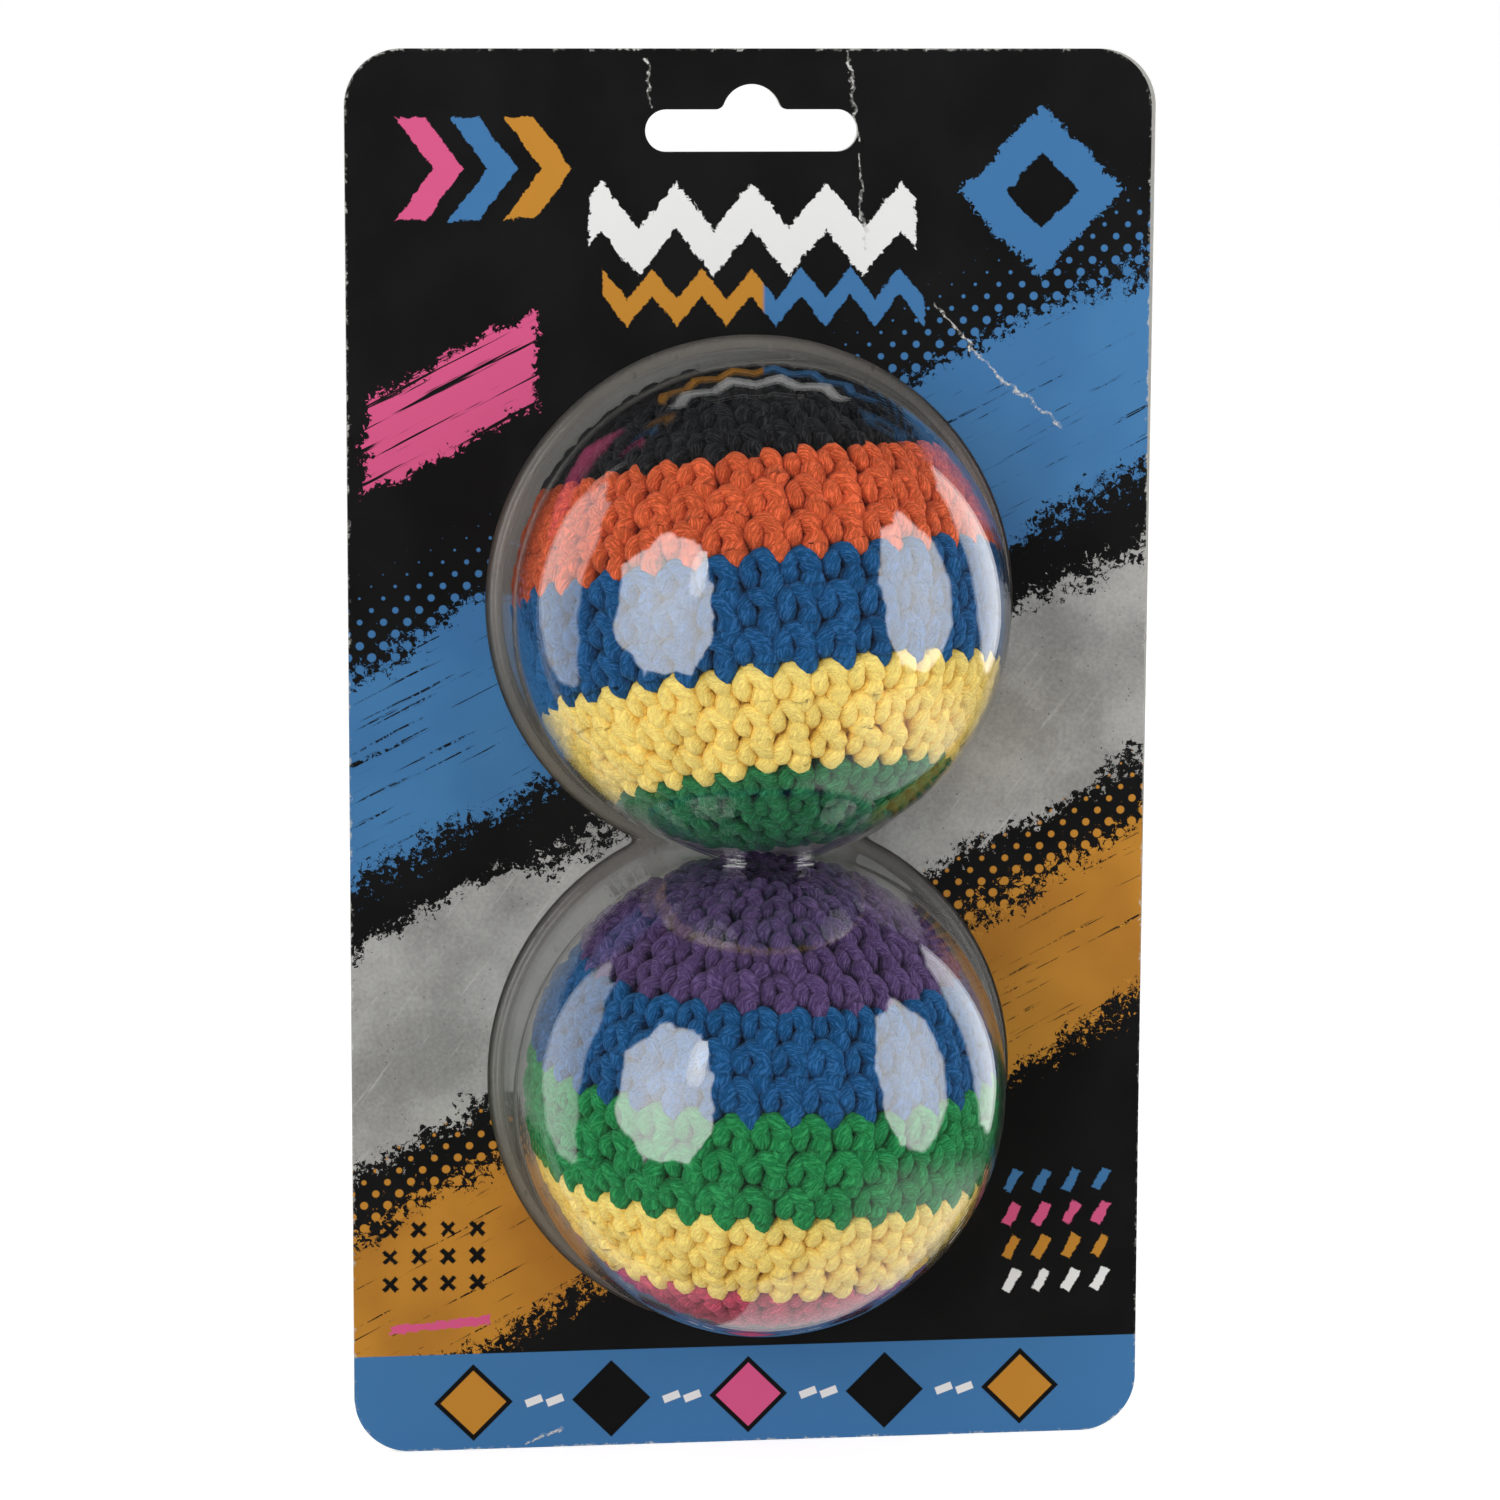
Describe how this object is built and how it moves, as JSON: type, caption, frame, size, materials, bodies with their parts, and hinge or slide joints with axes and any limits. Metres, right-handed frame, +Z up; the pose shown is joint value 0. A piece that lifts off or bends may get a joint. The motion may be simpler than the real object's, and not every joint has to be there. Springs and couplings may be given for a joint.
{
  "type": "footbag",
  "caption": "Crocheted footbags with pellet filling, each free to turn in the clear dome of a hanging blister card.",
  "frame": {"origin": "bearing point of the hang slot: the top of its centre notch, halfway through the card's thickness", "axes": "+Z up along the card as it hangs, +X to the right of a person facing the printed front, -Y out of the front towards that person"},
  "size_m": [0.1208, 0.0513, 0.211],
  "materials": {
    "printed_board": "satin",
    "seal_coat": "matte",
    "plain_board": "matte",
    "clear_sheet": "gloss",
    "black_yarn": "matte",
    "orange_yarn": "matte",
    "blue_yarn": "matte",
    "yellow_yarn": "matte",
    "dark_green_yarn": "matte",
    "green_yarn": "matte",
    "purple_yarn": "matte",
    "pink_yarn": "matte",
    "liner_cloth": "matte",
    "tie_thread": "matte",
    "pellets": "satin"
  },
  "bodies": {
    "pack": {"front_card": "printed_board", "seal_layer": "seal_coat", "back_card": "plain_board", "blister_shell": "clear_sheet"},
    "upper_footbag": {"upper_black_crown": "black_yarn", "upper_orange_band": "orange_yarn", "upper_blue_band": "blue_yarn", "upper_yellow_band": "yellow_yarn", "upper_green_base": "dark_green_yarn", "upper_liner": "liner_cloth", "upper_liner_tie": "tie_thread", "upper_pellet_fill": "pellets"},
    "lower_footbag": {"lower_purple_crown": "purple_yarn", "lower_blue_band": "blue_yarn", "lower_green_band": "green_yarn", "lower_yellow_band": "yellow_yarn", "lower_pink_base": "pink_yarn", "lower_liner": "liner_cloth", "lower_liner_tie": "tie_thread", "lower_pellet_fill": "pellets"}
  },
  "joints": [
    {"name": "upper_bag_turn", "type": "hinge", "parent": "pack", "child": "upper_footbag", "pos_m": [0, -0.01353, -0.0765], "axis": [0, -1, 0], "continuous": true},
    {"name": "lower_bag_turn", "type": "hinge", "parent": "pack", "child": "lower_footbag", "pos_m": [0.0007, -0.01353, -0.149], "axis": [0, -1, 0], "continuous": true}
  ]
}
